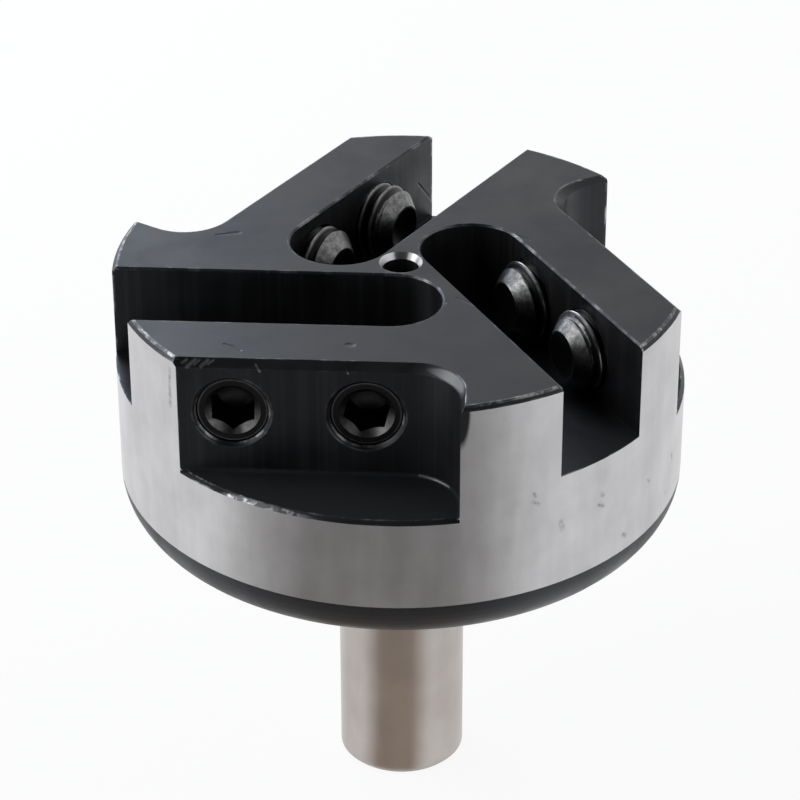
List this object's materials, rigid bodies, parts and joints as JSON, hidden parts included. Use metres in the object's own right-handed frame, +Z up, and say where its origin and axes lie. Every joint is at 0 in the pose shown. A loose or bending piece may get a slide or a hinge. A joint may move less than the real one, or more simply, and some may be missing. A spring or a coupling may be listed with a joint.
{
  "type": "polygon milling cutter",
  "caption": "Round cutter head on a straight shank, with slots for square tool bits that set screws clamp from milled pockets, for cutting flats on turned bars.",
  "frame": {"origin": "centre of the shank's end face", "axes": "+Z up the shank's axis towards the head's face; -X along the first slot, out to its mouth in the rim"},
  "size_m": [0.07, 0.07, 0.0717],
  "materials": {
    "blackened_ground_steel": "satin",
    "black_oxide_screw_steel": "satin"
  },
  "bodies": {
    "root": {"cutter_body": "blackened_ground_steel", "set_screw_a_outer": "black_oxide_screw_steel", "set_screw_a_inner": "black_oxide_screw_steel", "set_screw_b_outer": "black_oxide_screw_steel", "set_screw_b_inner": "black_oxide_screw_steel", "set_screw_c_outer": "black_oxide_screw_steel", "set_screw_c_inner": "black_oxide_screw_steel"}
  },
  "joints": []
}
